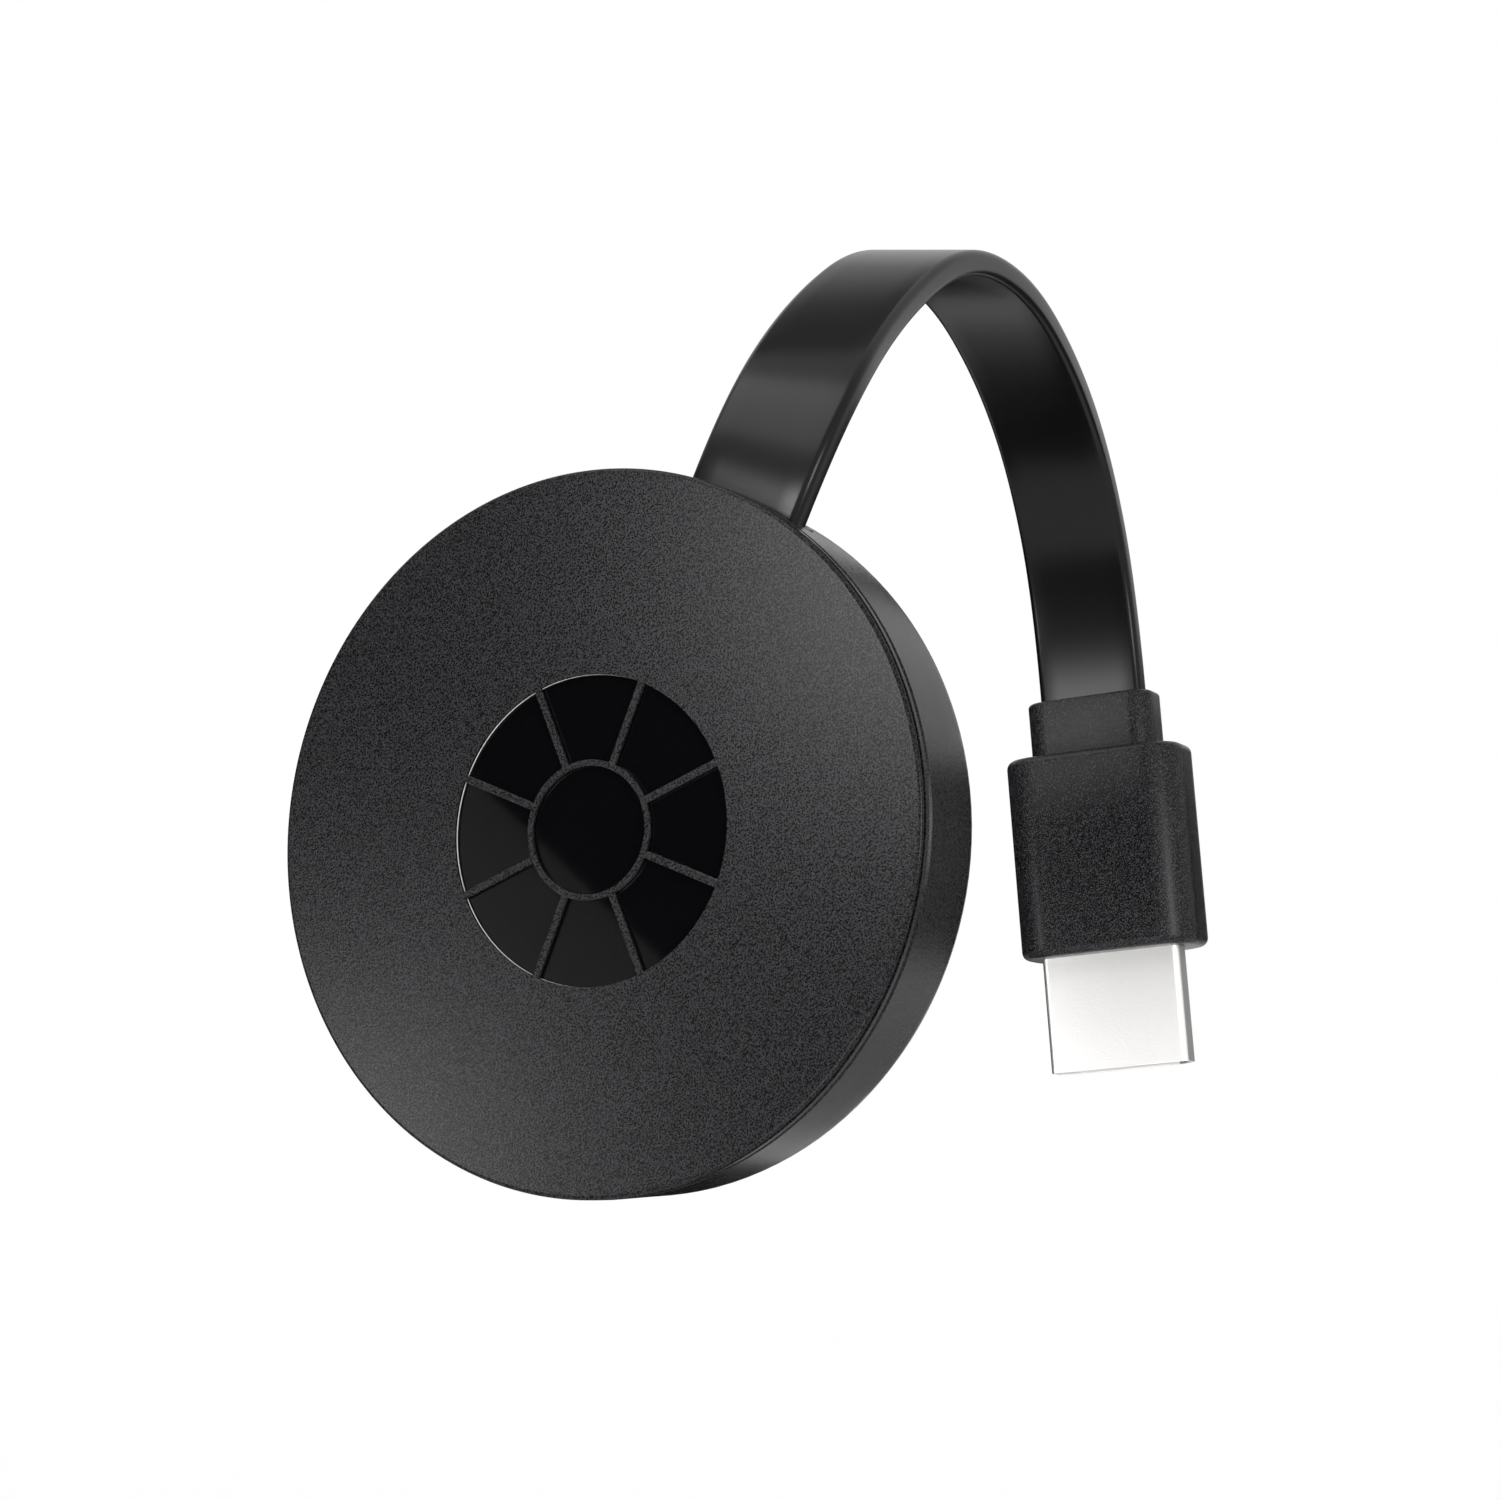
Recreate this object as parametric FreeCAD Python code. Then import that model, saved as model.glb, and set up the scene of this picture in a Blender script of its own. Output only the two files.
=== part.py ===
import FreeCAD, Part
import math
import os

os.makedirs("parts", exist_ok=True)

# A round streaming media player that hangs from a television's HDMI socket.
# Millimetres. +Z is up and the player's round face looks along -Y. The origin is the middle
# of the metal plug shell where it comes out of the plug's grip, because that is what holds it.

# ---------------------------------------------------------------- driving dimensions

# Puck. Depths are measured back from the middle of the round face, along +Y.
puck_centre = FreeCAD.Vector(-11.1, -83.1, 5.1)
puck_radius = 29.0
puck_depth = 12.0
face_dome = 0.2
cover_edge_round = 0.3
cover_back_depth = 1.5
skirt_depth = 1.5
edge_groove_front = 0.55
edge_groove_back = 0.95
edge_groove_radial = 0.5
seam_gap = 0.3
wall = 1.5
wall_draft = 0.3
back_edge_round = 2.6
lip_radius = 27.2
lip_thickness = 0.9
lip_depth = 3.2
label_recess_radius = 17.0
label_recess_depth = 0.25

# Round ornament in the middle of the face: a glossy plate behind ribbed windows.
window_radius = 12.4
window_hub_radius = 5.1
window_hub_rim = 0.5
window_rib_width = 0.6
window_rib_count = 8
window_rib_thickness = 0.35
inlay_radius = 13.4
inlay_thickness = 0.8
adhesive_thickness = 0.1

# Main board and what stands on it.
board_radius = 24.6
board_front = 4.3
board_thickness = 1.0
board_screw_clocks = (80.0, 150.0, 292.0)
board_screw_circle = 21.4
boss_radius = 2.3
screw_radius = 0.8
screw_head_radius = 1.7
screw_head_height = 0.9
shield_width = 21.0
shield_height = 17.0
shield_wall = 0.15
shield_front = 2.35
chip_rise = 1.0
spreader_radius = 19.0
spreader_thickness = 0.55

# Openings round the wall, by the hour angle clockwise from the top, seen from the front.
cable_clock = 24.5
usb_clock = 206.0
button_clock = 228.0
light_clock = 241.0

# Flat cable.
cable_width = 10.5
cable_thickness = 2.3
cable_depth = 4.7
grommet_margin = 0.35
grommet_proud = -0.1
grommet_inner_radius = 25.3
grommet_flange = 0.6
cable_exit_radius = 29.4
clamp_radius = 21.6
tail_inner_radius = 19.6

# Micro-USB socket, 7.5 mm wide.
usb_width = 7.5
usb_height = 2.6
usb_length = 5.4
usb_wall = 0.3

# Reset button and its side-pushed switch.
button_radius = 1.2
button_clearance = 0.1
button_depth = 6.8
button_flange_radius = 1.9
switch_front_radius = 25.1
plunger_radius = 0.7

# Plug. It hangs from the cable, tilted in the plane of the round face and turned about its axis.
plug_tilt = 4.5
plug_turn = 4.0
grip_width = 18.0
grip_thickness = 9.4
grip_length = 19.8
grip_corner = 3.6
grip_edge_round = 0.8
collar_width = 12.8
collar_thickness = 6.2
collar_length = 5.5
collar_corner = 2.2
shell_width = 13.9
shell_height = 4.45
shell_back_width = 10.4
shell_wall = 0.3
shell_corner = 0.65
shell_length = 11.2
shell_buried = 6.0
contact_pitch = 1.0
contact_width = 0.45


# ---------------------------------------------------------------- helpers

def place_in_puck(x, depth, z):
    """A point given from the middle of the round face."""
    return puck_centre + FreeCAD.Vector(x, depth, z)


def clock_direction(clock):
    """The outward direction at an hour angle, in degrees clockwise from the top."""
    angle = math.radians(clock)
    return FreeCAD.Vector(math.sin(angle), 0, math.cos(angle))


def disc(radius, front, back):
    """A round plate across the puck, between two depths."""
    return Part.makeCylinder(radius, back - front, place_in_puck(0, front, 0), FreeCAD.Vector(0, 1, 0))


def ring(outer, inner, front, back):
    return disc(outer, front, back).cut(disc(inner, front - 1, back + 1))


def turned(profile):
    """A body of revolution about the puck's axis.

    The profile is closed and goes round (radius, depth) corners. A corner written as
    (middle, end) is an arc from the last corner, through middle, to end.
    """
    edges = []
    last = place_in_puck(*profile[0], 0)
    for item in profile[1:] + profile[:1]:
        if isinstance(item[0], tuple):
            middle = place_in_puck(*item[0], 0)
            point = place_in_puck(*item[1], 0)
            edges.append(Part.Arc(last, middle, point).toShape())
        else:
            point = place_in_puck(*item, 0)
            edges.append(Part.makeLine(last, point))
        last = point
    face = Part.Face(Part.Wire(edges))
    return face.revolve(puck_centre, FreeCAD.Vector(0, 1, 0), 360)


def rounded_corner(outer, back, radius):
    """An arc item for turned(): the quarter round between the outside and a flat back."""
    middle = radius * (1 - math.sqrt(0.5))
    return ((outer - middle, back - middle), (outer - radius, back))


def radial_block(clock, inner, outer, width, front, back):
    """A block whose length lies along the outward direction at an hour angle."""
    block = Part.makeBox(width, back - front, outer - inner)
    block.translate(FreeCAD.Vector(-width / 2, front, inner))
    block.rotate(FreeCAD.Vector(0, 0, 0), FreeCAD.Vector(0, 1, 0), clock)
    block.translate(puck_centre)
    return block


def radial_pin(clock, inner, outer, radius, depth):
    direction = clock_direction(clock)
    start = place_in_puck(0, depth, 0) + direction * inner
    return Part.makeCylinder(radius, outer - inner, start, direction)


def rim_spot(clock, circle, sideways=0.0):
    """A place on a circle about the puck's middle, moved sideways along the rim if asked."""
    return clock_direction(clock) * circle + clock_direction(clock + 90) * sideways


def post(clock, circle, radius, front, back, sideways=0.0):
    """A round post across the puck."""
    spot = rim_spot(clock, circle, sideways)
    return Part.makeCylinder(radius, back - front, place_in_puck(spot.x, front, spot.z),
                             FreeCAD.Vector(0, 1, 0))


def board_block(x, z, width, height, front, back):
    """A block on the board, centred at x and z."""
    corner = place_in_puck(x - width / 2, front, z - height / 2)
    return Part.makeBox(width, back - front, height, corner)


def joined(shapes):
    result = shapes[0]
    for shape in shapes[1:]:
        result = result.fuse(shape)
    return result.removeSplitter()


def rounded_bar(width, thickness, length, corner, start):
    """An upright bar with rounded corners, in the plug's own axes, rising from height start."""
    bar = Part.makeBox(width, thickness, length)
    bar.translate(FreeCAD.Vector(-width / 2, -thickness / 2, start))
    upright = [edge for edge in bar.Edges if abs(edge.tangentAt(edge.FirstParameter).z) > 0.9]
    return bar.makeFillet(corner, upright)


def plug_section(width, back_width, height, start, length, corner):
    """A D-shaped bar in the plug's own axes: the wide side is the front, -Y."""
    half = height / 2
    slope = (width - back_width) / 2
    outline = [(-width / 2, -half), (width / 2, -half), (width / 2, half - slope),
               (back_width / 2, half), (-back_width / 2, half), (-width / 2, half - slope)]
    corners = [FreeCAD.Vector(x, y, start) for x, y in outline]
    face = Part.Face(Part.makePolygon(corners + [corners[0]]))
    bar = face.extrude(FreeCAD.Vector(0, 0, length))
    upright = [edge for edge in bar.Edges if abs(edge.tangentAt(edge.FirstParameter).z) > 0.9]
    return bar.makeFillet(corner, upright)


plug_rotation = (FreeCAD.Rotation(FreeCAD.Vector(0, 1, 0), -plug_tilt)
                 * FreeCAD.Rotation(FreeCAD.Vector(0, 0, 1), plug_turn))


def hang(shape):
    """Turns a plug piece from its own upright axes to the way that it hangs."""
    shape.Placement = FreeCAD.Placement(FreeCAD.Vector(0, 0, 0), plug_rotation) * shape.Placement
    return shape


def write(node, shape):
    if not shape.isValid():
        print("not valid:", node)
    shape.exportStep("parts/" + node + ".step")
    print(node, "solids", len(shape.Solids), "volume", round(shape.Volume, 2))


board_back = board_front + board_thickness
back_inside = puck_depth - wall
housing_front = skirt_depth + seam_gap


# ---------------------------------------------------------------- front cover

def make_front_cover():
    """A thin moulding: domed face, short skirt, a locating lip, and the ribbed windows."""
    edge = puck_radius - cover_edge_round
    half_dome = ((edge / 2, face_dome / 4), (edge, face_dome))
    turn = cover_edge_round * (1 - math.sqrt(0.5))
    edge_round = ((puck_radius - turn, face_dome + turn), (puck_radius, face_dome + cover_edge_round))
    profile = [(0, 0), half_dome, edge_round, (puck_radius, skirt_depth), (lip_radius, skirt_depth),
               (lip_radius, lip_depth), (lip_radius - lip_thickness, lip_depth),
               (lip_radius - lip_thickness, cover_back_depth), (0, cover_back_depth)]
    cover = turned(profile)
    # A shadow groove runs round the edge, just behind the face.
    cover = cover.cut(ring(puck_radius + 1, puck_radius - edge_groove_radial,
                           edge_groove_front, edge_groove_back))
    cover = cover.cut(disc(inlay_radius + 0.1, window_rib_thickness, cover_back_depth + 1))
    windows = ring(window_radius, window_hub_radius + window_hub_rim, -1, cover_back_depth)
    for index in range(window_rib_count):
        clock = 360.0 * index / window_rib_count + 180.0 / window_rib_count
        windows = windows.cut(radial_block(clock, 0, window_radius + 1, window_rib_width, -2,
                                           cover_back_depth + 1))
    cover = cover.cut(windows)
    cover = cover.cut(disc(window_hub_radius, -1, cover_back_depth))
    # The lip is left open where the cable, the socket and the switch come through.
    for clock, width in ((cable_clock, 14.5), (usb_clock, 10.0), (button_clock, 6.0), (light_clock, 4.0)):
        cover = cover.cut(radial_block(clock, 20, lip_radius + 0.1, width, skirt_depth, lip_depth + 1))
    return cover


# ---------------------------------------------------------------- rear housing

def make_rear_housing():
    """A cup with a drafted side wall and a rounded back edge, bosses, and openings in its wall."""
    back_radius = puck_radius - wall_draft
    inside_radius = back_radius - wall
    inside_round = back_edge_round - wall
    inside_turn = inside_round * (1 - math.sqrt(0.5))
    chamfer = 0.2
    housing = turned([
        (0, puck_depth), (0, back_inside), (inside_radius - inside_round, back_inside),
        ((inside_radius - inside_turn, back_inside - inside_turn),
         (inside_radius, back_inside - inside_round)),
        (puck_radius - wall, housing_front), (puck_radius - chamfer, housing_front),
        (puck_radius, housing_front + chamfer), (back_radius, puck_depth - back_edge_round),
        rounded_corner(back_radius, puck_depth, back_edge_round)])
    housing = housing.cut(disc(label_recess_radius, puck_depth - label_recess_depth, puck_depth + 1))
    pieces = [housing]
    for clock in board_screw_clocks:
        pieces.append(post(clock, board_screw_circle, boss_radius, board_back, back_inside + 0.2))
    for side in (-1, 1):
        pieces.append(post(cable_clock, clamp_radius, 1.8, cable_depth - cable_thickness / 2,
                           back_inside + 0.2, side * 8.2))
    pieces.append(radial_block(cable_clock, clamp_radius - 1, clamp_radius + 1, 12,
                               cable_depth + cable_thickness / 2, back_inside + 0.2))
    housing = joined(pieces)
    for clock in board_screw_clocks:
        hole = post(clock, board_screw_circle, screw_radius, board_back - 1, back_inside - 0.4)
        housing = housing.cut(hole)
    for side in (-1, 1):
        housing = housing.cut(post(cable_clock, clamp_radius, screw_radius, 2, back_inside - 2, side * 8.2))
    opening_width = cable_width + 2 * grommet_margin
    opening_height = cable_thickness + 2 * grommet_margin
    housing = housing.cut(radial_block(cable_clock, 25, 31, opening_width,
                                       cable_depth - opening_height / 2, cable_depth + opening_height / 2))
    housing = housing.cut(radial_block(usb_clock, 24, 31, usb_width + 0.3,
                                       board_back - 0.15, board_back + usb_height + 0.15))
    housing = housing.cut(radial_pin(button_clock, 24, 31, button_radius + button_clearance, button_depth))
    return housing.cut(radial_pin(light_clock, 24, 31, 0.9, button_depth))


# ---------------------------------------------------------------- ornament

def make_gloss_inlay():
    front = window_rib_thickness + adhesive_thickness
    return disc(inlay_radius, front, front + inlay_thickness)


def make_inlay_adhesive():
    return ring(inlay_radius, window_radius, window_rib_thickness, window_rib_thickness + adhesive_thickness)


# ---------------------------------------------------------------- electronics

def make_main_board():
    """A round board with a notch for the cable, and clear of the clamp's posts."""
    board = disc(board_radius, board_front, board_back)
    board = board.cut(radial_block(cable_clock, 16.6, board_radius + 1, 23.0,
                                   board_front - 1, board_back + 1))
    for clock in board_screw_clocks:
        board = board.cut(post(clock, board_screw_circle, screw_radius + 0.15,
                               board_front - 1, board_back + 1))
    return board


def make_shield_can():
    outer = board_block(-3, -2, shield_width, shield_height, shield_front, board_front)
    inner = board_block(-3, -2, shield_width - 2 * shield_wall, shield_height - 2 * shield_wall,
                        shield_front + shield_wall, board_front + 1)
    return outer.cut(inner)


def make_capacitors():
    """Eight chip capacitors in two rows behind the board."""
    blocks = []
    for row in range(2):
        for column in range(4):
            blocks.append(board_block(-12 + 2.6 * column, 9 + 3.0 * row, 1.0, 1.8,
                                      board_back, board_back + 0.9))
    return Part.makeCompound(blocks)


def make_screws(spots, head_front):
    """Pan-head screws, one solid each. A spot is clock, circle, sideways and tip depth."""
    screws = []
    for clock, circle, sideways, tip in spots:
        head = post(clock, circle, screw_head_radius, head_front, head_front + screw_head_height, sideways)
        shank = post(clock, circle, screw_radius, head_front + screw_head_height, tip, sideways)
        spot = rim_spot(clock, circle, sideways)
        cross = joined([board_block(spot.x, spot.z, 2.0, 0.4, head_front - 1, head_front + 0.45),
                        board_block(spot.x, spot.z, 0.4, 2.0, head_front - 1, head_front + 0.45)])
        screws.append(joined([head, shank]).cut(cross))
    return Part.makeCompound(screws)


def make_antenna():
    return board_block(-1, -17, 16, 4.5, back_inside - 0.5, back_inside)


def make_antenna_lead():
    """A thin coaxial lead from the radio module to the antenna: two runs and one bend."""
    radius = 0.45
    start = place_in_puck(5, board_back + 1.2, -2)
    corner = place_in_puck(5, back_inside - 0.5 - radius, -2)
    end = place_in_puck(5, back_inside - 0.5 - radius, -15.2)
    drop = Part.makeCylinder(radius, corner.y - start.y, start, FreeCAD.Vector(0, 1, 0))
    run = Part.makeCylinder(radius, abs(end.z - corner.z), corner, FreeCAD.Vector(0, 0, -1))
    return joined([drop, Part.makeSphere(radius, corner), run])


def make_usb_shell():
    face = puck_radius - 0.5
    outer = radial_block(usb_clock, face - usb_length, face, usb_width, board_back, board_back + usb_height)
    inner = radial_block(usb_clock, face - usb_length + usb_wall, face + 1, usb_width - 2 * usb_wall,
                         board_back + usb_wall, board_back + usb_height - usb_wall)
    return outer.cut(inner)


def make_usb_tongue():
    face = puck_radius - 0.5
    middle = board_back + usb_height / 2
    return radial_block(usb_clock, face - usb_length + usb_wall, face - 0.8, 3.9, middle - 0.3, middle + 0.3)


def make_tact_switch():
    body = radial_block(button_clock, 21.3, switch_front_radius, 4.6, board_back, button_depth + 1.5)
    return body.cut(radial_pin(button_clock, 23.2, 26, plunger_radius + 0.1, button_depth))


def make_switch_plunger():
    return radial_pin(button_clock, 24.0, 26.0, plunger_radius, button_depth)


def make_reset_button():
    """A cap that stands 0.2 mm out of the wall, held in by a flange behind it."""
    cap = radial_pin(button_clock, 26.8, puck_radius + 0.1, button_radius, button_depth)
    flange = radial_pin(button_clock, 26.0, 26.8, button_flange_radius, button_depth)
    return joined([cap, flange])


# ---------------------------------------------------------------- cable inside the puck

def make_cable_grommet():
    """A soft collar moulded round the cable: a flange on each side of the housing's wall."""
    width = cable_width + 2 * grommet_margin
    height = cable_thickness + 2 * grommet_margin
    neck = radial_block(cable_clock, grommet_inner_radius, puck_radius + 1, width,
                        cable_depth - height / 2, cable_depth + height / 2)
    neck = neck.common(disc(puck_radius + grommet_proud, 0, puck_depth))
    flange = radial_block(cable_clock, grommet_inner_radius, grommet_inner_radius + grommet_flange,
                          width + 1.6,
                          cable_depth - height / 2 - 0.2, cable_depth + height / 2 + 0.8)
    hole = radial_block(cable_clock, 20, 32, cable_width, cable_depth - cable_thickness / 2,
                        cable_depth + cable_thickness / 2)
    return joined([neck, flange]).cut(hole)


def make_cable_tail():
    return radial_block(cable_clock, tail_inner_radius, cable_exit_radius, cable_width,
                        cable_depth - cable_thickness / 2, cable_depth + cable_thickness / 2)


def make_conductor_tails():
    """Five wire ends that step down from the cable to the front of the board."""
    wire = 0.35
    seat = board_front - wire
    along = clock_direction(cable_clock)
    across = clock_direction(cable_clock + 90)
    wires = []
    for index in range(5):
        side = across * (index - 2) * 1.9
        start = place_in_puck(0, seat, 0) + side + along * tail_inner_radius
        wires.append(Part.makeCylinder(wire, tail_inner_radius - 14.6, start, along * -1))
    return Part.makeCompound(wires)


def make_cable_clamp():
    """A bar across the cable's tail, screwed to a post on each side."""
    top = cable_depth - cable_thickness / 2
    bar = radial_block(cable_clock, clamp_radius - 1.6, clamp_radius + 1.6, 19.8, top - 0.8, top)
    for side in (-1, 1):
        bar = bar.cut(post(cable_clock, clamp_radius, screw_radius + 0.15, top - 2, top + 1, side * 8.2))
    return bar


# ---------------------------------------------------------------- flat cable outside the puck

# Hand-chosen corners of the route. The first two stand straight out of the grommet,
# and the last two lie on the plug's own axis.
exit_direction = clock_direction(cable_clock)
exit_point = place_in_puck(0, cable_depth, 0) + exit_direction * cable_exit_radius
plug_down = plug_rotation.multVec(FreeCAD.Vector(0, 0, -1))
plug_across = plug_rotation.multVec(FreeCAD.Vector(1, 0, 0))
cable_end = plug_down * -(grip_length + collar_length)
route = [
    exit_point,
    exit_point + exit_direction * 7.4,
    FreeCAD.Vector(3.1, -65.5, 49.4),
    FreeCAD.Vector(3.0, -51.8, 57.5),
    FreeCAD.Vector(2.3, -37.0, 58.3),
    FreeCAD.Vector(0.3, -21.5, 54.2),
    FreeCAD.Vector(-2.1, -7.8, 47.6),
    cable_end - plug_down * 10.7,
    cable_end,
]


def route_stations(points):
    """Walks the straight runs and the tangent arcs between them: places and directions."""
    stations = [(points[0], (points[1] - points[0]).normalize())]
    for index in range(1, len(points) - 1):
        corner = points[index]
        before = corner - points[index - 1]
        after = points[index + 1] - corner
        shorter = min(before.Length, after.Length)
        into = FreeCAD.Vector(before).normalize()
        out = FreeCAD.Vector(after).normalize()
        turn = into.getAngle(out)
        radius = 0.45 * shorter / math.tan(turn / 2)
        print("route corner", index, "turn", round(math.degrees(turn), 1), "radius", round(radius, 1))
        start = corner - into * 0.45 * shorter
        axis = into.cross(out).normalize()
        centre = start + axis.cross(into).normalize() * radius
        steps = max(2, math.ceil(math.degrees(turn) / 6))
        for step in range(steps + 1):
            rotation = FreeCAD.Rotation(axis, math.degrees(turn) * step / steps)
            stations.append((centre + rotation.multVec(start - centre), rotation.multVec(into)))
    stations.append((points[-1], (points[-1] - points[-2]).normalize()))
    return stations


def make_hdmi_cable():
    """A flat strip that bends only its thin way, and is twisted evenly to meet the plug."""
    stations = route_stations(route)
    lengths = [0.0]
    crossways = [clock_direction(cable_clock + 90)]
    for index in range(1, len(stations)):
        lengths.append(lengths[-1] + (stations[index][0] - stations[index - 1][0]).Length)
        direction = stations[index][1]
        across = crossways[-1] - direction * crossways[-1].dot(direction)
        crossways.append(across.normalize())
    ending = stations[-1][1]
    sense = crossways[-1].cross(plug_across).dot(ending)
    twist = math.degrees(crossways[-1].getAngle(plug_across)) * (1 if sense > 0 else -1)
    sections = []
    for (point, direction), length, across in zip(stations, lengths, crossways):
        across = FreeCAD.Rotation(direction, twist * length / lengths[-1]).multVec(across)
        side = across * (cable_width / 2)
        front = direction.cross(across).normalize() * (cable_thickness / 2)
        corners = [point - side - front, point + side - front, point + side + front, point - side + front]
        sections.append(Part.makePolygon(corners + [corners[0]]))
    cable = Part.makeLoft(sections, True, True)
    print("cable length", round(lengths[-1], 1), "twist", round(twist, 1))
    print("cable volume ratio", round(cable.Volume / (lengths[-1] * cable_width * cable_thickness), 4))
    return cable


# ---------------------------------------------------------------- plug, in its own upright axes

mould_width = 15.0
mould_thickness = 6.6
mould_length = 14.0
insulator_recess = 0.7
slot_width = 11.6
slot_height = 1.9


def make_plug_collar():
    collar = rounded_bar(collar_width, collar_thickness, collar_length, collar_corner, grip_length)
    rim = [edge for edge in collar.Edges if abs(edge.CenterOfMass.z - grip_length - collar_length) < 0.01]
    return hang(collar.makeFillet(0.4, rim))


def make_plug_grip():
    """The moulded grip, hollow where the inner mould sits."""
    grip = rounded_bar(grip_width, grip_thickness, grip_length, grip_corner, 0)
    rims = [edge for edge in grip.Edges if abs(edge.CenterOfMass.z) < 0.01
            or abs(edge.CenterOfMass.z - grip_length) < 0.01]
    grip = grip.makeFillet(grip_edge_round, rims)
    pocket = rounded_bar(mould_width, mould_thickness, mould_length, 1.5, 1.2)
    throat = plug_section(shell_width, shell_back_width, shell_height, -1, 3, shell_corner)
    return hang(grip.cut(pocket).cut(throat))


def make_plug_inner_mould():
    mould = rounded_bar(mould_width, mould_thickness, mould_length, 1.5, 1.2)
    return hang(mould.cut(plug_section(shell_width, shell_back_width, shell_height, 0, shell_buried,
                                       shell_corner)))


def make_plug_shell():
    """A folded steel D-shaped tube with two latch windows on each wide side."""
    outer = plug_section(shell_width, shell_back_width, shell_height, -shell_length,
                         shell_length + shell_buried, shell_corner)
    inner = plug_section(shell_width - 2 * shell_wall, shell_back_width - 1.4 * shell_wall,
                         shell_height - 2 * shell_wall, -shell_length - 1, shell_length + shell_buried + 2,
                         shell_corner - shell_wall)
    shell = outer.cut(inner)
    for side in (-1, 1):
        window = Part.makeBox(2.0, 1.0, 1.6)
        window.translate(FreeCAD.Vector(side * 3.1 - 1.0, shell_height / 2 - 0.6, -shell_length + 3.6))
        shell = shell.cut(window)
    return hang(shell)


def make_plug_insulator():
    """The plastic core with the slot that takes the socket's tongue."""
    width = shell_width - 2 * shell_wall - 0.1
    back_width = shell_back_width - 1.4 * shell_wall - 0.1
    height = shell_height - 2 * shell_wall - 0.1
    core = plug_section(width, back_width, height, -shell_length + insulator_recess,
                        shell_length - insulator_recess + shell_buried, shell_corner - shell_wall)
    slot = Part.makeBox(slot_width - 1.4, slot_height, 9.0)
    slot.translate(FreeCAD.Vector(-(slot_width - 1.4) / 2, -slot_height / 2 - 0.1, -shell_length))
    return hang(core.cut(slot))


def make_plug_contacts(count, side):
    """One row of gilt contact springs against a long wall of the slot."""
    strips = []
    for index in range(count):
        strip = Part.makeBox(contact_width, 0.2, 7.6)
        x = (index - (count - 1) / 2) * contact_pitch - contact_width / 2
        y = -0.1 + side * (slot_height / 2 - 0.1) - 0.1
        strip.translate(FreeCAD.Vector(x, y, -shell_length + 1.2))
        strips.append(strip)
    return hang(Part.makeCompound(strips))


# ---------------------------------------------------------------- write every node

write("front_cover", make_front_cover())
write("rear_housing", make_rear_housing())
write("gloss_inlay", make_gloss_inlay())
write("inlay_adhesive", make_inlay_adhesive())
write("main_board", make_main_board())
write("shield_can", make_shield_can())
write("soc_chip", board_block(-6, -2, 11, 11, board_front - chip_rise, board_front))
write("memory_chip", board_block(4, -2, 5.5, 9, board_front - 0.9, board_front))
write("thermal_pad", board_block(-6, -2, 10, 10, shield_front + shield_wall, board_front - chip_rise))
write("heat_spreader", disc(spreader_radius, shield_front - spreader_thickness, shield_front))
write("flash_chip", board_block(-7, -4, 11, 9, board_back, board_back + 1.0))
write("radio_module", board_block(9, 3, 12, 12, board_back, board_back + 1.2))
write("antenna", make_antenna())
write("antenna_lead", make_antenna_lead())
write("crystal", board_block(-1, 11, 3.2, 2.5, board_back, board_back + 0.8))
write("power_inductor", board_block(-16, -7, 4, 4, board_back, board_back + 2.0))
write("capacitors", make_capacitors())
write("usb_socket_shell", make_usb_shell())
write("usb_socket_tongue", make_usb_tongue())
write("tact_switch", make_tact_switch())
write("switch_plunger", make_switch_plunger())
write("reset_button", make_reset_button())
write("status_led", radial_block(light_clock, 22.6, 24.4, 1.8, board_back, button_depth + 0.5))
write("light_pipe", radial_pin(light_clock, 24.6, puck_radius - 0.2, 0.9, button_depth))
write("board_screws", make_screws([(clock, board_screw_circle, 0, back_inside - 0.6)
                                   for clock in board_screw_clocks], board_front - screw_head_height))
write("cable_grommet", make_cable_grommet())
write("cable_tail", make_cable_tail())
write("conductor_tails", make_conductor_tails())
write("cable_clamp", make_cable_clamp())
write("clamp_screws", make_screws([(cable_clock, clamp_radius, side * 8.2, back_inside - 2.4)
                                   for side in (-1, 1)],
                                  cable_depth - cable_thickness / 2 - 0.8 - screw_head_height))
write("hdmi_cable", make_hdmi_cable())
write("plug_collar", make_plug_collar())
write("plug_grip", make_plug_grip())
write("plug_inner_mould", make_plug_inner_mould())
write("plug_shell", make_plug_shell())
write("plug_insulator", make_plug_insulator())
write("plug_contacts_upper", make_plug_contacts(10, -1))
write("plug_contacts_lower", make_plug_contacts(9, 1))
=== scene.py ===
import bmesh
import bpy
import math
from mathutils import Matrix, Vector


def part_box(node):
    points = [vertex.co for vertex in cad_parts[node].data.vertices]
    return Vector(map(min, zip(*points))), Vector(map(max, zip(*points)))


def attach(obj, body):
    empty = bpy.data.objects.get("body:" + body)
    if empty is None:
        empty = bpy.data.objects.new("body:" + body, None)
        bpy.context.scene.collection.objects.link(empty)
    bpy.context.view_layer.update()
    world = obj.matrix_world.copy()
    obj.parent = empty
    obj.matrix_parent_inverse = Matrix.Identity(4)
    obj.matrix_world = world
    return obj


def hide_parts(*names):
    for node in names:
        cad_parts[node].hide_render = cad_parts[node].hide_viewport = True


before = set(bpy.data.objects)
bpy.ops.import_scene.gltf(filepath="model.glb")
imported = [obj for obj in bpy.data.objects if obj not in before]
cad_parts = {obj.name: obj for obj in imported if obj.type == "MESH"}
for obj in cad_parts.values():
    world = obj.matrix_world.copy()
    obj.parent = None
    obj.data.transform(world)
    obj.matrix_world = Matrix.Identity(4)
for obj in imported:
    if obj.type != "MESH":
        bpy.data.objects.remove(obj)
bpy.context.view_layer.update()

mm = 0.001


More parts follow.
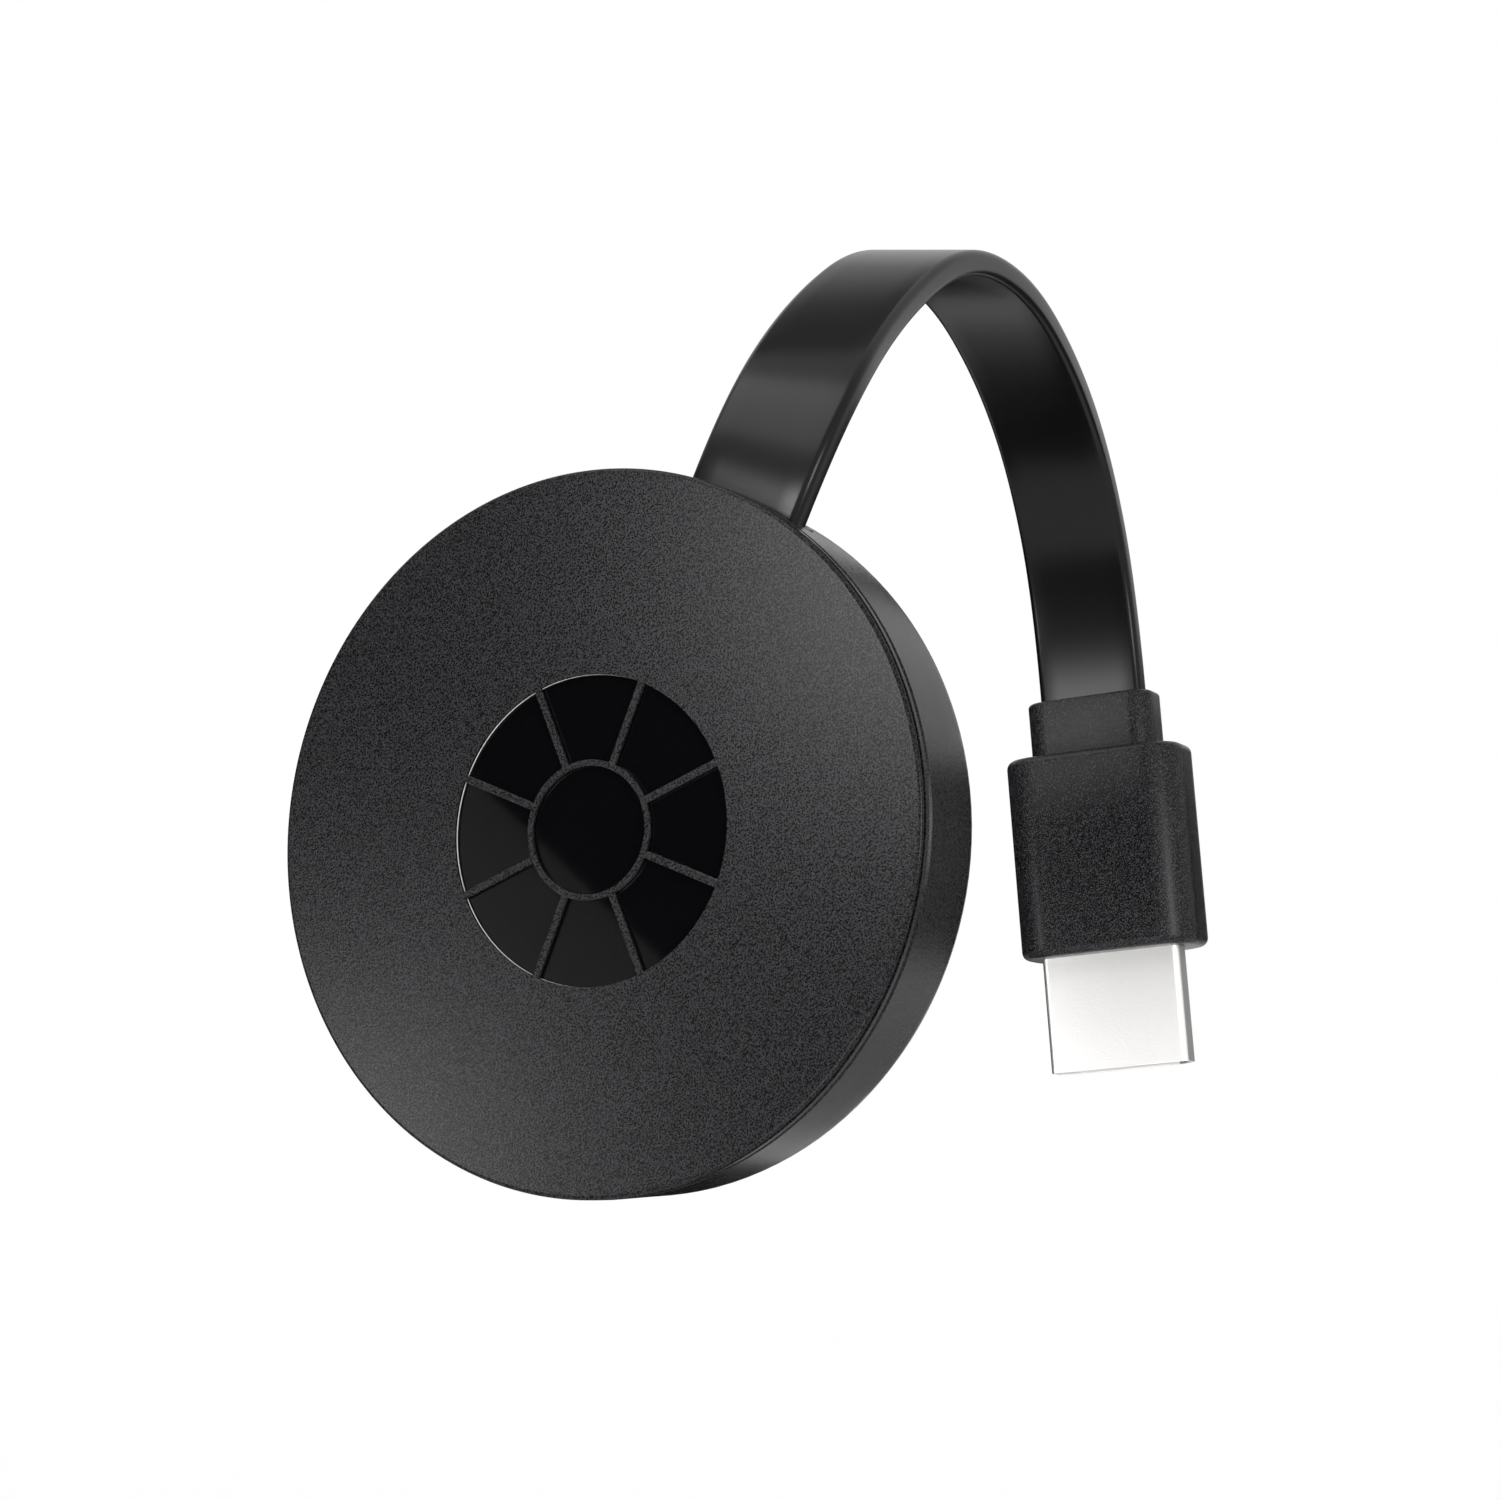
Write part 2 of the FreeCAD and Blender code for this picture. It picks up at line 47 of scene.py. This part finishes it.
# ---------------------------------------------------------------- front cover
# The round face is one injection moulding in black ABS. The tool's face is spark-eroded, which
# leaves a fine even grain, and a ribbed round window in the middle shows a glossy plate behind it.

def srgb(text):
    """A hex colour as linear red, green, blue and alpha."""
    values = [int(text[i:i + 2], 16) / 255 for i in (1, 3, 5)]
    linear = [v / 12.92 if v <= 0.04045 else ((v + 0.055) / 1.055) ** 2.4 for v in values]
    return (*linear, 1.0)


def node(material, kind, settings=None, links=None):
    """Adds a node. Settings go on its inputs or properties, and links name its inputs' sources."""
    tree = material.node_tree
    added = tree.nodes.new(kind)
    for name, value in (settings or {}).items():
        if name in added.inputs:
            added.inputs[name].default_value = value
        else:
            setattr(added, name, value)
    for name, (source, output) in (links or {}).items():
        tree.links.new(source.outputs[output], added.inputs[name])
    return added


def new_material(name):
    """A material with an empty shader tree, and its Principled shader joined to the output."""
    material = bpy.data.materials.new(name)
    material.use_nodes = True
    material.node_tree.nodes.clear()
    shader = node(material, "ShaderNodeBsdfPrincipled")
    node(material, "ShaderNodeOutputMaterial", links={"Surface": (shader, "BSDF")})
    return material, shader


def connect(material, source, output, target, socket):
    material.node_tree.links.new(source.outputs[output], target.inputs[socket])


def grained(name, valley, crest, roughness, grain, depth, gloss=0.15, low=0.42, high=0.6):
    """Moulded plastic with a fine raised grain whose crests are painted paler than its valleys, a painted
    highlight where light catches the crests.

    grain is the grain's width and depth its height, in mm. Noise below low is valley and above
    high is crest. The pattern is turned, because its layers would show as rings on a flat face.
    """
    material, shader = new_material(name)
    place = node(material, "ShaderNodeTexCoord")
    scaled = node(material, "ShaderNodeMapping", {"Scale": [1 / (grain * mm)] * 3, "Rotation": (0.7, 0.5, 0.3)},
                  {"Vector": (place, "Object")})
    noise = node(material, "ShaderNodeTexNoise", {"Scale": 1.0, "Detail": 2.0, "Roughness": 0.6},
                 {"Vector": (scaled, "Vector")})
    height = node(material, "ShaderNodeMapRange", {"From Min": low, "From Max": high}, {"Value": (noise, "Fac")})
    bump = node(material, "ShaderNodeBump", {"Strength": 1.0, "Distance": depth * mm},
                {"Height": (height, "Result")})
    # The paler crest colour is painted highlight: it stands in for light caught on the crests of the grain.
    grain_and_painted_highlight = node(material, "ShaderNodeMix", {"data_type": "RGBA"})
    grain_and_painted_highlight.inputs[6].default_value = srgb(valley)
    grain_and_painted_highlight.inputs[7].default_value = srgb(crest)
    connect(material, height, "Result", grain_and_painted_highlight, 0)
    material.node_tree.links.new(grain_and_painted_highlight.outputs[2], shader.inputs["Base Color"])
    connect(material, bump, "Normal", shader, "Normal")
    shader.inputs["Roughness"].default_value = roughness
    shader.inputs["Specular IOR Level"].default_value = gloss
    return material


def finished(name, mesh, body, material, smooth=30, bevel=0.0, segments=2):
    """An object for a finished mesh: shaded smooth up to an angle, with an optional small bevel."""
    piece = bpy.data.objects.new(name, mesh)
    bpy.context.scene.collection.objects.link(piece)
    mesh.materials.clear()
    mesh.materials.append(material)
    mesh.shade_smooth()
    mesh.set_sharp_from_angle(angle=math.radians(smooth))
    if bevel:
        rounding = piece.modifiers.new("edge_round", "BEVEL")
        rounding.width = bevel * mm
        rounding.segments = segments
        rounding.limit_method = "ANGLE"
        rounding.angle_limit = math.radians(smooth)
        rounding.harden_normals = True
    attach(piece, body)
    return piece


def from_cad(name, body, material, smooth=30, bevel=0.0, segments=2):
    """A merged copy of a CAD node's mesh, with its flat triangles joined, that stands for the node."""
    shape = bmesh.new()
    shape.from_mesh(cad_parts[name].data)
    bmesh.ops.remove_doubles(shape, verts=shape.verts, dist=0.0005 * mm)
    bmesh.ops.dissolve_limit(shape, angle_limit=math.radians(0.2), verts=shape.verts, edges=shape.edges)
    mesh = bpy.data.meshes.new(name + "_looks")
    shape.to_mesh(mesh)
    shape.free()
    piece = finished(name + "_looks", mesh, body, material, smooth, bevel, segments)
    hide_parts(name)
    return piece


puck_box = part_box("rear_housing")
face_centre = Vector(((puck_box[0][0] + puck_box[1][0]) / 2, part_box("front_cover")[0][1],
                      (puck_box[0][2] + puck_box[1][2]) / 2))
cover_profile = [(12.4, 0.037), (16.5, 0.066), (20.6, 0.103), (24.7, 0.148), (28.4, 0.196), (28.62, 0.199),
                 (28.7, 0.2), (28.85, 0.24), (28.96, 0.35), (29.0, 0.5), (29.0, 0.55), (28.5, 0.55), (28.5, 0.95),
                 (29.0, 0.95), (29.0, 1.5), (13.5, 1.5), (13.5, 0.35), (12.4, 0.35)]
hub_profile = [(5.1, 0.01), (5.6, 0.01), (5.6, 0.35), (5.1, 0.35)]
lip_profile = [(26.3, 1.4), (27.2, 1.4), (27.2, 3.2), (26.3, 3.2)]
rib_width = 0.6
rib_count = 8
# The lip is open where the cable, the socket, the button and the light come through.
lip_spans = [(40, 195), (217, 221), (235, 236.5), (245, 370)]


def spin_profile(shape, profile, start=0.0, turn=360.0, steps=240):
    """Turns a closed profile of (radius, depth) in mm about the puck's axis, between hour angles."""
    angle = math.radians(start)
    outward = Vector((math.sin(angle), 0, math.cos(angle)))
    corners = [shape.verts.new(face_centre + (outward * radius + Vector((0, depth, 0))) * mm)
               for radius, depth in profile]
    edges = [shape.edges.new((corners[i - 1], corners[i])) for i in range(len(corners))]
    full = turn == 360.0
    if not full:
        shape.faces.new(corners)
    made = bmesh.ops.spin(shape, geom=corners + edges, cent=face_centre, axis=(0, 1, 0),
                          angle=math.radians(turn), steps=steps, use_merge=full)
    if not full:
        last = [g for g in made["geom_last"] if isinstance(g, bmesh.types.BMEdge)]
        bmesh.ops.edgeloop_fill(shape, edges=last)


def make_cover():
    shape = bmesh.new()
    spin_profile(shape, cover_profile)
    spin_profile(shape, hub_profile, steps=96)
    for start, end in lip_spans:
        spin_profile(shape, lip_profile, start, end - start, max(2, int((end - start) / 2)))
    for index in range(rib_count):
        rib = bmesh.ops.create_cube(shape, size=1)["verts"]
        bmesh.ops.scale(shape, vec=(rib_width * mm, 0.32 * mm, 7.0 * mm), verts=rib)
        bmesh.ops.translate(shape, vec=(0, 0.19 * mm, 9.0 * mm), verts=rib)
        clock = 2 * math.pi * (index + 0.5) / rib_count
        bmesh.ops.rotate(shape, cent=(0, 0, 0), matrix=Matrix.Rotation(clock, 3, "Y"), verts=rib)
        bmesh.ops.translate(shape, vec=face_centre, verts=rib)
    bmesh.ops.recalc_face_normals(shape, faces=shape.faces)
    mesh = bpy.data.meshes.new("front_cover_looks")
    shape.to_mesh(mesh)
    shape.free()
    return mesh


# Black valleys, with crests painted paler as a painted highlight on the grain.
spark_eroded_abs = grained("spark_eroded_black_abs", "#000000", "#262628", 0.24, 0.145, 0.0026, 0.11)
cover = finished("front_cover_looks", make_cover(), "player", spark_eroded_abs, smooth=35, bevel=0.05)
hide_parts("front_cover")


# ---------------------------------------------------------------- rear housing
# The other half of the case is a deeper cup in the same grained ABS, snapped to the cover.

from_cad("rear_housing", "player", spark_eroded_abs, smooth=25)


# ---------------------------------------------------------------- glossy plate
# A round plate of polished black acrylic is taped behind the windows of the cover.

def polished(name, colour, roughness, coat=0.0):
    material, shader = new_material(name)
    shader.inputs["Base Color"].default_value = srgb(colour)
    shader.inputs["Roughness"].default_value = roughness
    shader.inputs["Coat Weight"].default_value = coat
    return material


polished_acrylic = polished("polished_black_acrylic", "#050506", 0.03)
from_cad("gloss_inlay", "player", polished_acrylic)


# ---------------------------------------------------------------- flat cable
# The cable is a flat strip of satin black PVC, extruded over the conductors. It stands straight
# out of the rim, arches over behind the puck and hangs down to the plug, bent only the thin way.

cable_width = 10.5 * mm
cable_thickness = 2.3 * mm
cable_clock = math.radians(24.5)
exit_radius = 29.4 * mm
cable_depth = 4.7 * mm
plug_tilt = math.radians(4.5)
plug_turn = math.radians(4.0)
plug_rotation = Matrix.Rotation(-plug_tilt, 3, "Y") @ Matrix.Rotation(plug_turn, 3, "Z")
plug_down = plug_rotation @ Vector((0, 0, -1))
plug_across = plug_rotation @ Vector((1, 0, 0))
exit_direction = Vector((math.sin(cable_clock), 0, math.cos(cable_clock)))
exit_across = Vector((math.cos(cable_clock), 0, -math.sin(cable_clock)))
exit_point = face_centre + Vector((0, cable_depth, 0)) + exit_direction * exit_radius
cable_end = plug_down * (-25.3 * mm)
route = [
    exit_point,
    exit_point + exit_direction * 7.4 * mm,
    Vector((3.1, -65.5, 49.4)) * mm,
    Vector((3.0, -51.8, 57.5)) * mm,
    Vector((2.3, -37.0, 58.3)) * mm,
    Vector((0.3, -21.5, 54.2)) * mm,
    Vector((-2.1, -7.8, 47.6)) * mm,
    cable_end - plug_down * 10.7 * mm,
    cable_end,
]


def spline_points(points):
    """The places along a smooth line with these control points."""
    curve = bpy.data.curves.new("cable_line", "CURVE")
    curve.dimensions = "3D"
    spline = curve.splines.new("NURBS")
    spline.points.add(len(points) - 1)
    for point, place in zip(spline.points, points):
        point.co = (*place, 1)
    spline.order_u = 3
    spline.use_endpoint_u = True
    spline.resolution_u = 20
    holder = bpy.data.objects.new("cable_line", curve)
    bpy.context.scene.collection.objects.link(holder)
    mesh = bpy.data.meshes.new_from_object(holder)
    line = [vertex.co.copy() for vertex in mesh.vertices]
    line = line[:1] + [place for place, last in zip(line[1:], line) if (place - last).length > 0.01 * mm]
    bpy.data.objects.remove(holder)
    bpy.data.curves.remove(curve)
    bpy.data.meshes.remove(mesh)
    return line


def cable_stations(line):
    """A turned and placed section at each point: its matrix carries the strip's own axes."""
    directions = [(line[min(i + 1, len(line) - 1)] - line[max(i - 1, 0)]).normalized()
                  for i in range(len(line))]
    directions[0] = exit_direction
    directions[-1] = plug_down
    lengths = [0.0]
    across = [exit_across]
    for i in range(1, len(line)):
        lengths.append(lengths[-1] + (line[i] - line[i - 1]).length)
        carried = across[-1] - directions[i] * across[-1].dot(directions[i])
        across.append(carried.normalized())
    sense = across[-1].cross(plug_across).dot(directions[-1])
    twist = math.copysign(across[-1].angle(plug_across), sense)
    stations = []
    for place, direction, side, length in zip(line, directions, across, lengths):
        side = Matrix.Rotation(twist * length / lengths[-1], 3, direction) @ side
        turned = Matrix((side, direction.cross(side), direction)).transposed().to_4x4()
        stations.append(Matrix.Translation(place) @ turned)
    return stations, lengths


def make_strip(name, stations):
    """The strip's rounded section carried through its stations, and closed at both ends."""
    strip = bmesh.new()
    bmesh.ops.create_grid(strip, x_segments=1, y_segments=1, size=0.5)
    bmesh.ops.scale(strip, vec=(cable_width, cable_thickness, 1), verts=strip.verts)
    bmesh.ops.bevel(strip, geom=strip.verts, offset=0.7 * mm, offset_type="OFFSET", segments=6,
                    profile=0.5, affect="VERTICES", material=-1)
    bmesh.ops.delete(strip, geom=strip.faces, context="FACES_ONLY")
    bmesh.ops.subdivide_edges(strip, edges=[e for e in strip.edges if e.calc_length() > 4 * mm], cuts=5)
    bmesh.ops.transform(strip, matrix=stations[0], verts=strip.verts)
    outline = list(strip.edges)
    first_end = list(outline)
    section = stations[0]
    for station in stations[1:]:
        made = bmesh.ops.extrude_edge_only(strip, edges=outline)["geom"]
        outline = [g for g in made if isinstance(g, bmesh.types.BMEdge)]
        moved = [g for g in made if isinstance(g, bmesh.types.BMVert)]
        bmesh.ops.transform(strip, matrix=station @ section.inverted(), verts=moved)
        section = station
    bmesh.ops.edgeloop_fill(strip, edges=first_end)
    bmesh.ops.edgeloop_fill(strip, edges=outline)
    bmesh.ops.recalc_face_normals(strip, faces=strip.faces)
    mesh = bpy.data.meshes.new(name)
    strip.to_mesh(mesh)
    strip.free()
    return mesh


def satin_pvc():
    """Extruded PVC: a satin skin with faint waves along it where it left the die."""
    material, shader = new_material("satin_extruded_black_pvc")
    place = node(material, "ShaderNodeTexCoord")
    scaled = node(material, "ShaderNodeMapping", {"Scale": [1 / (0.25 * mm)] * 3}, {"Vector": (place, "Object")})
    noise = node(material, "ShaderNodeTexNoise", {"Scale": 1.0, "Detail": 2.0}, {"Vector": (scaled, "Vector")})
    bump = node(material, "ShaderNodeBump", {"Strength": 0.6, "Distance": 0.002 * mm}, {"Height": (noise, "Fac")})
    connect(material, bump, "Normal", shader, "Normal")
    shader.inputs["Base Color"].default_value = srgb("#0a0a0b")
    shader.inputs["Roughness"].default_value = 0.27
    shader.inputs["Specular IOR Level"].default_value = 0.17
    return material


cable_line = spline_points(route)
cable_places, cable_lengths = cable_stations(cable_line)
cable = finished("flat_cable", make_strip("flat_cable", cable_places), "player", satin_pvc(), smooth=40)
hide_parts("hdmi_cable")
from_cad("cable_grommet", "player", spark_eroded_abs, smooth=30)
inner_end = Matrix.Translation(exit_direction * -9.8 * mm) @ cable_places[0]
tail = finished("cable_tail_looks", make_strip("cable_tail_looks", [inner_end, cable_places[0]]), "player",
                cable.data.materials[0], smooth=40)
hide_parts("cable_tail")


# ---------------------------------------------------------------- plug grip and collar
# Both are moulded in one shot of soft black PVC over the plug and the cable's end, in a tool
# with a coarser grain than the case has. Its bumps break the light into small sparkles, and its paler crests are
# painted highlight.

# Near-black valleys, with crests painted paler as painted sparkle on the grain.
grained_pvc = grained("grained_moulded_black_pvc", "#050505", "#3a3a3d", 0.3, 0.13, 0.007, 0.16, 0.48, 0.64)


def moulded_bar(width, thickness, low, high, corner, rim, low_rim=None):
    """An upright bar with rounded corners and rounded rims, then turned to the plug's axis."""
    bar = bmesh.new()
    bmesh.ops.create_cube(bar, size=1)
    bmesh.ops.scale(bar, vec=(width, thickness, high - low), verts=bar.verts)
    bmesh.ops.translate(bar, vec=(0, 0, (low + high) / 2), verts=bar.verts)
    upright = [e for e in bar.edges if abs((e.verts[0].co - e.verts[1].co).normalized().z) > 0.9]
    bmesh.ops.bevel(bar, geom=upright, offset=corner, offset_type="OFFSET", segments=14,
                    profile=0.5, affect="EDGES", material=-1)
    for height, radius in ((high, rim), (low, rim if low_rim is None else low_rim)):
        edges = [e for e in bar.edges if all(abs(v.co.z - height) < 1e-7 for v in e.verts)]
        if radius:
            bmesh.ops.bevel(bar, geom=edges, offset=radius, offset_type="OFFSET", segments=5,
                            profile=0.5, affect="EDGES", material=-1)
    bmesh.ops.transform(bar, matrix=plug_rotation.to_4x4(), verts=bar.verts)
    mesh = bpy.data.meshes.new("moulded_bar")
    bar.to_mesh(mesh)
    bar.free()
    return mesh


collar = finished("cable_collar", moulded_bar(12.8 * mm, 6.2 * mm, 19.8 * mm, 25.3 * mm, 2.2 * mm, 0.4 * mm, 0),
                  "player", grained_pvc, smooth=35)
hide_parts("plug_collar")
grip = finished("grip", moulded_bar(18.0 * mm, 9.4 * mm, 0, 19.8 * mm, 3.6 * mm, 0.8 * mm),
                "player", grained_pvc, smooth=35)
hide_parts("plug_grip")


# ---------------------------------------------------------------- metal plug shell
# A strip of steel folded into a D-shaped tube and plated with nickel.

def plated(name, colour, roughness, grain, depth):
    """Plated sheet metal: a bright skin over the fine rolled grain of the sheet."""
    material, shader = new_material(name)
    place = node(material, "ShaderNodeTexCoord")
    scaled = node(material, "ShaderNodeMapping", {"Scale": [1 / (grain * mm)] * 3}, {"Vector": (place, "Object")})
    noise = node(material, "ShaderNodeTexNoise", {"Scale": 1.0, "Detail": 4.0}, {"Vector": (scaled, "Vector")})
    bump = node(material, "ShaderNodeBump", {"Strength": 1.0, "Distance": depth * mm}, {"Height": (noise, "Fac")})
    connect(material, bump, "Normal", shader, "Normal")
    shader.inputs["Base Color"].default_value = srgb(colour)
    shader.inputs["Metallic"].default_value = 1.0
    shader.inputs["Roughness"].default_value = roughness
    return material


nickel_plate = plated("nickel_plated_steel", "#efeeec", 0.42, 0.16, 0.010)
from_cad("plug_shell", "player", nickel_plate, smooth=30, bevel=0.05)


# ---------------------------------------------------------------- plug core and contacts
# The core that fills the shell is moulded in black liquid crystal polymer, and the contact
# springs in its slot are stamped from copper alloy and gilt.

# Grained materials here also get crests painted a little paler than their valleys, a small painted highlight.
crystal_polymer = grained("moulded_liquid_crystal_polymer", "#0c0c0d", "#161618", 0.5, 0.1, 0.003)
gilt_contact = plated("gilt_copper_alloy", "#d9a94a", 0.22, 0.1, 0.002)
from_cad("plug_insulator", "player", crystal_polymer)
from_cad("plug_contacts_upper", "player", gilt_contact)
from_cad("plug_contacts_lower", "player", gilt_contact)
from_cad("plug_inner_mould", "player", grained_pvc)


# ---------------------------------------------------------------- power socket
# A micro-USB socket: a drawn steel shell, nickel-plated, with a moulded tongue inside.

from_cad("usb_socket_shell", "player", nickel_plate, bevel=0.04)
from_cad("usb_socket_tongue", "player", crystal_polymer)


# ---------------------------------------------------------------- reset button and its switch
# The button is moulded in the same ABS as the case. It is pressed inwards against the switch.

from_cad("reset_button", "reset_key", spark_eroded_abs, bevel=0.15, segments=3)
from_cad("switch_plunger", "reset_key", crystal_polymer)
from_cad("tact_switch", "player", crystal_polymer)


# ---------------------------------------------------------------- status light
# A clear acrylic pin carries the light of a small diode to the outside of the wall.

clear_acrylic = polished("clear_acrylic_light_pipe", "#e9e9e2", 0.08, 0.3)
from_cad("light_pipe", "player", clear_acrylic, bevel=0.08)
from_cad("status_led", "player", clear_acrylic)


# ---------------------------------------------------------------- main board and its parts
# A glass-fibre board under green solder mask, with moulded chips, tinned cans and small parts.

# These grained materials also get crests painted a little paler than their valleys, a small painted highlight.
solder_mask = grained("green_solder_mask_on_glass_fibre", "#0b4222", "#0f522a", 0.3, 0.5, 0.004, 0.5)
chip_epoxy = grained("moulded_chip_epoxy", "#131416", "#1c1d1f", 0.6, 0.08, 0.004)
tin_plate = plated("tinned_steel_sheet", "#c9c8c4", 0.3, 0.3, 0.004)
rolled_aluminium = plated("rolled_aluminium_sheet", "#d2d3d6", 0.35, 0.3, 0.004)
zinc_plate = plated("zinc_plated_screw_steel", "#c4c6c8", 0.3, 0.2, 0.004)
bare_copper = plated("tinned_copper_strand", "#c98a5a", 0.3, 0.2, 0.004)
sintered = grained("sintered_ceramic", "#7c6248", "#987c5d", 0.5, 0.1, 0.003, 0.5)
dark_ferrite = grained("sintered_ferrite", "#242427", "#333337", 0.55, 0.1, 0.004)
silicone_pad = grained("filled_silicone_pad", "#7588aa", "#899dbf", 0.7, 0.2, 0.010)
tape = grained("acrylic_foam_tape", "#cfcfc8", "#dededa", 0.7, 0.2, 0.005)
blue_mask = grained("blue_solder_mask", "#142452", "#1a2e66", 0.3, 0.5, 0.004, 0.5)
lead_sleeve = grained("extruded_ptfe_sleeve", "#19191b", "#1f1f21", 0.35, 0.2, 0.002)
board_parts = [
    ("main_board", "circuit_board", solder_mask),
    ("shield_can", "tinned_steel", tin_plate),
    ("soc_chip", "epoxy_package", chip_epoxy),
    ("memory_chip", "epoxy_package", chip_epoxy),
    ("flash_chip", "epoxy_package", chip_epoxy),
    ("thermal_pad", "thermal_pad", silicone_pad),
    ("heat_spreader", "aluminium_sheet", rolled_aluminium),
    ("radio_module", "tinned_steel", tin_plate),
    ("antenna", "antenna_board", blue_mask),
    ("antenna_lead", "ptfe_lead", lead_sleeve),
    ("crystal", "tinned_steel", tin_plate),
    ("power_inductor", "ferrite", dark_ferrite),
    ("capacitors", "ceramic_part", sintered),
    ("inlay_adhesive", "adhesive", tape),
    ("board_screws", "zinc_screw", zinc_plate),
    ("clamp_screws", "zinc_screw", zinc_plate),
    ("cable_clamp", "abs_matte", spark_eroded_abs),
    ("conductor_tails", "copper_wire", bare_copper),
]
for part_name, slot_name, part_material in board_parts:
    from_cad(part_name, "player", part_material)


# ---------------------------------------------------------------- studio
# A pale floor far below the hanging player, soft light all round, and two soft boxes whose
# reflections lie on the upper right and the lower left of the round face.

def make_floor():
    plane = bmesh.new()
    bmesh.ops.create_circle(plane, cap_ends=True, segments=96, radius=6.0)
    bmesh.ops.translate(plane, vec=(0, 0, -0.25), verts=plane.verts)
    mesh = bpy.data.meshes.new("floor")
    plane.to_mesh(mesh)
    plane.free()
    floor = bpy.data.objects.new("floor", mesh)
    bpy.context.scene.collection.objects.link(floor)
    material, shader = new_material("pale_floor_paint")
    shader.inputs["Base Color"].default_value = srgb("#ffffff")
    shader.inputs["Roughness"].default_value = 0.9
    mesh.materials.append(material)


def card(name, colour, direction, distance, width, height, lean):
    """A flat card for the polished parts to mirror. It faces the puck, and no view shows it."""
    sheet = bmesh.new()
    bmesh.ops.create_grid(sheet, x_segments=1, y_segments=1, size=0.5)
    bmesh.ops.scale(sheet, vec=(width, height, 1), verts=sheet.verts)
    mesh = bpy.data.meshes.new(name)
    sheet.to_mesh(mesh)
    sheet.free()
    board = bpy.data.objects.new(name, mesh)
    bpy.context.scene.collection.objects.link(board)
    material, shader = new_material(name + "_paint")
    shader.inputs["Base Color"].default_value = srgb(colour)
    shader.inputs["Roughness"].default_value = 1.0
    shader.inputs["Specular IOR Level"].default_value = 0.0
    mesh.materials.append(material)
    away = Vector(direction).normalized()
    turn = away.to_track_quat("Z", "Y").to_matrix() @ Matrix.Rotation(math.radians(lean), 3, "Z")
    board.location = face_centre + away * distance
    board.rotation_euler = turn.to_euler()
    board.visible_camera = False


def soft_box(name, direction, distance, size, power):
    """A square soft light that faces the puck from a direction."""
    light = bpy.data.lights.new(name, "AREA")
    light.size = size
    light.energy = power
    box = bpy.data.objects.new(name, light)
    bpy.context.scene.collection.objects.link(box)
    away = Vector(direction).normalized()
    box.location = face_centre + away * distance
    box.rotation_euler = away.to_track_quat("Z", "Y").to_euler()
    box.visible_camera = False


make_floor()
world = bpy.data.worlds.new("studio")
bpy.context.scene.world = world
world.use_nodes = True
world.node_tree.nodes["Background"].inputs["Color"].default_value = (1, 1, 1, 1)
world.node_tree.nodes["Background"].inputs["Strength"].default_value = 1.0
card("front_black_card", "#000000", (-0.37, -0.90, 0.24), 0.60, 0.26, 0.26, 45)
card("front_grey_card", "#b8b8b8", (-0.47, -0.88, 0.10), 0.66, 0.60, 0.60, 0)
card("shell_card", "#1c1c1c", (0.302, 0.953, 0.00), 0.215, 0.10, 0.10, 0)
card("left_card", "#101010", (-1.0, -0.04, 0.05), 0.55, 0.60, 0.50, 0)
card("left_rear_card", "#101010", (-0.7, 0.7, 0.05), 0.60, 0.60, 0.40, 0)
card("arch_card", "#000000", (-0.252, 0.372, 0.893), 0.44, 0.14, 0.14, 0)
card("low_card", "#000000", (-0.44, 0.647, -0.625), 0.184, 0.12, 0.12, 0)
card("wall_card", "#a8a8a8", (0.035, 0.903, -0.429), 0.315, 0.12, 0.12, 0)
soft_box("upper_right_box", (-0.271, -0.924, 0.267), 0.33, 0.06, 0.42)
soft_box("lower_left_box", (-0.636, -0.766, -0.102), 0.363, 0.06, 0.28)
soft_box("right_box", (0.88, -0.47, 0.05), 0.42, 0.12, 0.8)
soft_box("low_front_box", (0.00, -0.85, -0.40), 0.5, 0.2, 0.95)
soft_box("top_box", (-0.194, -0.45, 0.872), 0.425, 0.3, 0.8)


# ---------------------------------------------------------------- camera

camera_turn = math.radians(27.76)
camera_rise = math.radians(-7.19)
camera_distance = 281 * mm
camera_lens = 85.5
back = Vector((math.sin(camera_turn) * math.cos(camera_rise),
               -math.cos(camera_turn) * math.cos(camera_rise), math.sin(camera_rise)))
right = Vector((math.cos(camera_turn), math.sin(camera_turn), 0))
up = back.cross(right)
aim = face_centre + right * 12.8 * mm + up * 6.3 * mm
camera_data = bpy.data.cameras.new("camera")
camera_data.lens = camera_lens
camera_data.sensor_width = 36
camera = bpy.data.objects.new("camera", camera_data)
bpy.context.scene.collection.objects.link(camera)
camera.location = aim + back * camera_distance
camera.rotation_euler = back.to_track_quat("Z", "Y").to_euler()
bpy.context.scene.camera = camera
bpy.context.scene.view_settings.view_transform = "Standard"
